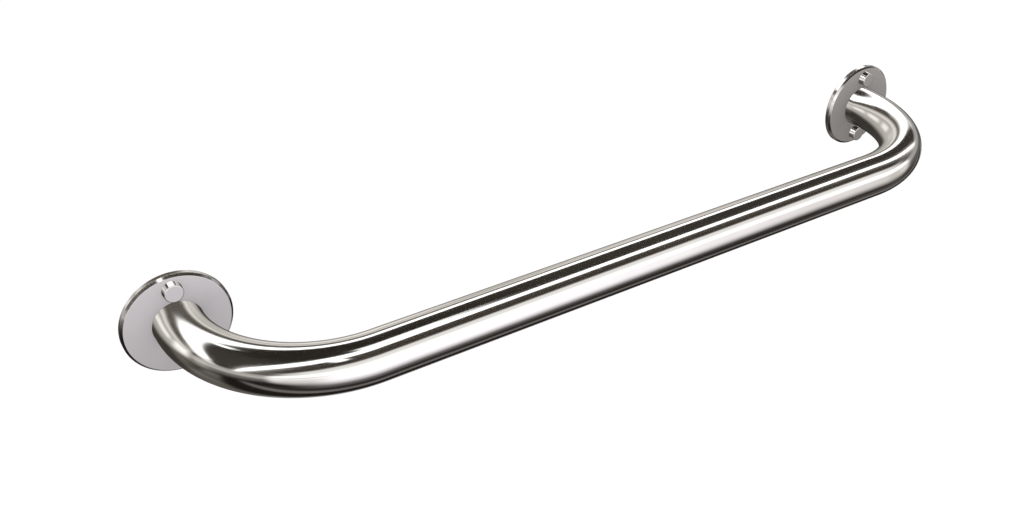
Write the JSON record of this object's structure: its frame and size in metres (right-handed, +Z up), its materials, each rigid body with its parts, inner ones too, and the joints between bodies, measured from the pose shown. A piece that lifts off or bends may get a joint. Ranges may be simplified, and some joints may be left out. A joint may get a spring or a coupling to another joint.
{
  "type": "grab rail",
  "caption": "Bent-tube stainless grab rail with welded round flanges, sealing gaskets and capped fixing screws, for a cabin wall, bulkhead or deckhouse side.",
  "frame": {"origin": "in the wall plane, midway between the centres of the two flanges", "axes": "+X along the rail towards the right flange, +Y into the wall, +Z up; the rail stands off towards -Y"},
  "size_m": [0.5152, 0.094, 0.0542],
  "materials": {
    "tube_steel": "polished stainless with fine lengthwise polishing lines",
    "flange_steel": "satin stainless face with a polished edge",
    "weld_steel": "ground weld, slightly heat tinted",
    "gasket_rubber": "matte black rubber",
    "seat_nylon": "natural nylon",
    "screw_steel": "plain stainless fastener",
    "cap_steel": "polished stainless"
  },
  "bodies": {
    "root": {"rail_tube": "tube_steel", "flange_left": "flange_steel", "flange_right": "flange_steel", "weld_left": "weld_steel", "weld_right": "weld_steel", "gasket_left": "gasket_rubber", "gasket_right": "gasket_rubber", "cap_seat_left_top": "seat_nylon", "cap_seat_left_bottom": "seat_nylon", "cap_seat_right_top": "seat_nylon", "cap_seat_right_bottom": "seat_nylon", "screw_left_top": "screw_steel", "screw_left_bottom": "screw_steel", "screw_right_top": "screw_steel", "screw_right_bottom": "screw_steel", "cap_left_top": "cap_steel", "cap_left_bottom": "cap_steel", "cap_right_top": "cap_steel", "cap_right_bottom": "cap_steel"}
  },
  "joints": []
}
